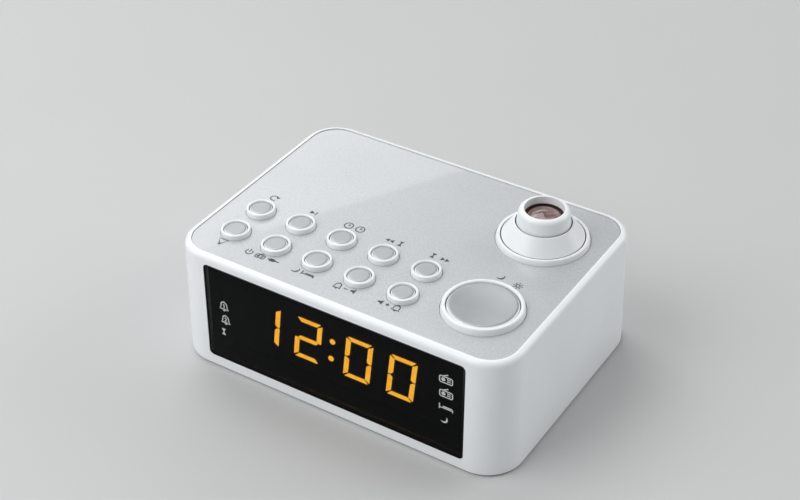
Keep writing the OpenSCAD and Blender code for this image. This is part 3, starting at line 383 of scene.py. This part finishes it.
def signMesh(shape, line):
    bm = bmesh.new()
    for points in shape.get("open", []):
        ribbon(bm, points, line)
    for points in shape.get("closed", []):
        ribbon(bm, points, line, closed=True)
    for points in shape.get("fill", []):
        bm.faces.new([bm.verts.new((*p, 0)) for p in points])
    mesh = bpy.data.meshes.new("oneSign")
    bm.to_mesh(mesh)
    bm.free()
    return mesh


def facePlace(obj, facing):
    # middle of the flat face that looks towards facing within 8 degrees, with X to the right and Z out of it
    flat = [p for p in obj.data.polygons if p.normal.dot(facing) > math.cos(math.radians(8))]
    corners = [obj.data.vertices[i].co for p in flat for i in p.vertices]
    middle = Vector([(min(c[k] for c in corners) + max(c[k] for c in corners)) / 2 for k in range(3)])
    out = max(flat, key=lambda p: p.area).normal
    right = Vector((1, 0, 0))
    up = out.cross(right)
    return Matrix([[right[k], up[k], out[k], middle[k]] for k in range(3)] + [[0, 0, 0, 1]])


def printSigns(name, layer, place, material):
    # one thin layer of ink with all the signs of a face
    bm = bmesh.new()
    for sign, x, y, scale in layer["marks"]:
        size = layer["size"] * scale
        mesh = signMesh(signs[sign], layer["line"] / size)
        mesh.transform(Matrix.Translation((x, y, 0)) @ Matrix.Scale(size, 4))
        bm.from_mesh(mesh)
        bpy.data.meshes.remove(mesh)
    raised = bmesh.ops.extrude_face_region(bm, geom=bm.faces[:])["geom"]
    bmesh.ops.translate(bm, verts=[v for v in raised if isinstance(v, bmesh.types.BMVert)],
                        vec=(0, 0, layer["thick"]))
    bmesh.ops.recalc_face_normals(bm, faces=bm.faces[:])
    bm.transform(place @ Matrix.Scale(mm, 4))
    mesh = bpy.data.meshes.new(name)
    bm.to_mesh(mesh)
    bm.free()
    mesh.materials.append(material)
    obj = bpy.data.objects.new(name, mesh)
    bpy.context.scene.collection.objects.link(obj)
    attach(obj, "case")


# millimetres; a mark is a sign, its place from the panel's middle and its scale
panelPrint = {
    "size": 3.8, "line": 0.52, "thick": 0.02,
    "marks": [
        ("rotate", -61.6, -7.7, 1.0), ("skip", -40.8, -7.9, 0.9), ("clock", -23.2, -7.8, 1.0),
        ("clock", -17.6, -7.7, 1.0), ("back", -3.2, -7.7, 1.0), ("glass", 2.1, -7.5, 0.85),
        ("glass", 17.6, -7.3, 0.85), ("forward", 23.5, -7.4, 1.0),
        ("beam", -61.4, -44.8, 1.0), ("power", -47.5, -44.3, 0.95), ("radio", -41.8, -44.5, 0.9),
        ("plug", -35.2, -44.2, 1.0), ("moon", -24.5, -44.2, 0.95), ("bed", -18.3, -44.3, 1.0),
        ("bell", -4.0, -44.2, 1.0), ("minus", -0.2, -44.3, 0.8), ("speaker", 3.4, -44.1, 1.0),
        ("speaker", 16.2, -44.0, 1.0), ("plus", 19.3, -44.1, 0.8), ("bell", 23.5, -44.2, 1.0),
        ("moon", 47.9, -5.3, 0.95), ("sun", 56.6, -7.0, 1.0)],
    # dull grey that stays readable on silver
    "ink": {"name": "screenPrintedGreyInk", "tones": ("#34373a", "#3f4346"), "drift": 3, "grain": 0.3,
            "relief": 0.001, "rough": (0.45, 0.6)},
}
panelTop = facePlace(nodes["top_panel"], Vector((0, 0, 1)))
printSigns("panelSigns", panelPrint, panelTop, makeFinish(panelPrint["ink"]))

# places from the window's middle, up the leaning face
windowPrint = {
    "size": 4.6, "line": 0.5, "thick": 0.02,
    "marks": [
        ("bellOne", -52.7, 5.1, 1.0), ("bellTwo", -52.3, -1.8, 1.0), ("glass", -53.7, -8.4, 0.7),
        ("radio", 53.7, 13.5, 1.0), ("radio", 53.9, 6.6, 1.0), ("bed", 54.0, -0.2, 0.85),
        ("moon", 53.2, -6.4, 0.75)],
    # pale grey that reads as white on the dark window
    "ink": {"name": "screenPrintedWhiteInk", "tones": ("#c0c2c4", "#cfd1d3"), "drift": 3, "grain": 0.3,
            "relief": 0.001, "rough": (0.4, 0.5)},
}
windowFace = facePlace(nodes["display_window"], Vector((0, -1, 0)))
printSigns("windowSigns", windowPrint, windowFace, makeFinish(windowPrint["ink"]))
print("signs printed")

# metres and watts; the ceiling card shows in the panel as a pale field with a slanting border
studio = {
    "floorSize": 6.0,
    "floor": {"name": "mattePaper", "tones": ("#c3c5c5", "#c5c7c7"), "drift": 200, "grain": 2,
              "relief": 0.001, "rough": (0.75, 0.85), "specular": 0.2},
    "world": 0.39,
    "lamps": {
        "keyLamp": {"place": (-0.5, -0.6, 0.85), "target": (0, 0, 0.03), "size": (0.9, 0.9), "power": 7.9},
        "highLamp": {"place": (-0.81, 0.68, 1.7), "target": (0, 0, 0.03), "size": (1.0, 1.0), "power": 7.3},
        "backLamp": {"place": (1.2, 1.5, 0.9), "target": (0, 0, 0.03), "size": (1.2, 1.2), "power": 13.3},
        "ceilingCard": {"place": (-1.75, 2.04, 1.5), "target": (-1.75, 2.04, 0), "size": (1.2, 1.8),
                        "power": 10.4, "turn": -29.6},
        "frontCard": {"place": (-1.6, 0.65, 1.5), "target": (-1.6, 0.65, 0), "size": (1.2, 0.9),
                      "power": 6.2},
    },
}


def makeFloor(size, look):
    bm = bmesh.new()
    bmesh.ops.create_grid(bm, x_segments=1, y_segments=1, size=size)
    mesh = bpy.data.meshes.new("studioFloor")
    bm.to_mesh(mesh)
    bm.free()
    mesh.materials.append(makeFinish(look))
    floor = bpy.data.objects.new("studioFloor", mesh)
    bpy.context.scene.collection.objects.link(floor)


def makeWorld(strength):
    world = bpy.data.worlds.new("studioWorld")
    world.use_nodes = True
    tree = world.node_tree
    tree.nodes.clear()
    shader = addNode(tree, "ShaderNodeBackground", {"Color": linear("#ffffff"), "Strength": strength})
    addNode(tree, "ShaderNodeOutputWorld", {"Surface": shader.outputs[0]})
    bpy.context.scene.world = world


def makeLamp(name, spec):
    data = bpy.data.lights.new(name, "AREA")
    data.shape = "RECTANGLE"
    data.size, data.size_y = spec["size"]
    data.energy = spec["power"]
    lamp = bpy.data.objects.new(name, data)
    aim = Vector(spec["target"]) - Vector(spec["place"])
    turn = Matrix.Rotation(math.radians(spec.get("turn", 0)), 4, "Z")
    lamp.matrix_world = Matrix.Translation(spec["place"]) @ turn \
        @ aim.to_track_quat("-Z", "Y").to_matrix().to_4x4()
    bpy.context.scene.collection.objects.link(lamp)


makeFloor(studio["floorSize"], studio["floor"])
makeWorld(studio["world"])
for name, spec in studio["lamps"].items():
    makeLamp(name, spec)
bpy.context.scene.view_settings.view_transform = "Standard"
print("studio lit")

# place in metres; azimuth goes round from straight in front; angles in degrees, lens in millimetres
cameraView = {"place": (0.289519, -0.452506, 0.440072), "azimuth": 32.891, "elevation": 36.171,
              "roll": -0.722, "lens": 72.01, "sensor": 36, "nearest": 0.01}


def makeCamera(view):
    azimuth, elevation, roll = (math.radians(view[k]) for k in ("azimuth", "elevation", "roll"))
    back = Vector((math.sin(azimuth) * math.cos(elevation), -math.cos(azimuth) * math.cos(elevation),
                   math.sin(elevation)))
    level = Vector((math.cos(azimuth), math.sin(azimuth), 0))
    over = back.cross(level)
    right = level * math.cos(roll) + over * math.sin(roll)
    up = over * math.cos(roll) - level * math.sin(roll)
    data = bpy.data.cameras.new("studioCamera")
    data.lens = view["lens"]
    data.sensor_width = view["sensor"]
    data.clip_start = view["nearest"]
    camera = bpy.data.objects.new("studioCamera", data)
    turned = Matrix([[right[k], up[k], back[k], 0] for k in range(3)] + [[0, 0, 0, 1]])
    camera.matrix_world = Matrix.Translation(view["place"]) @ turned
    bpy.context.scene.collection.objects.link(camera)
    bpy.context.scene.camera = camera


makeCamera(cameraView)
print("camera placed")
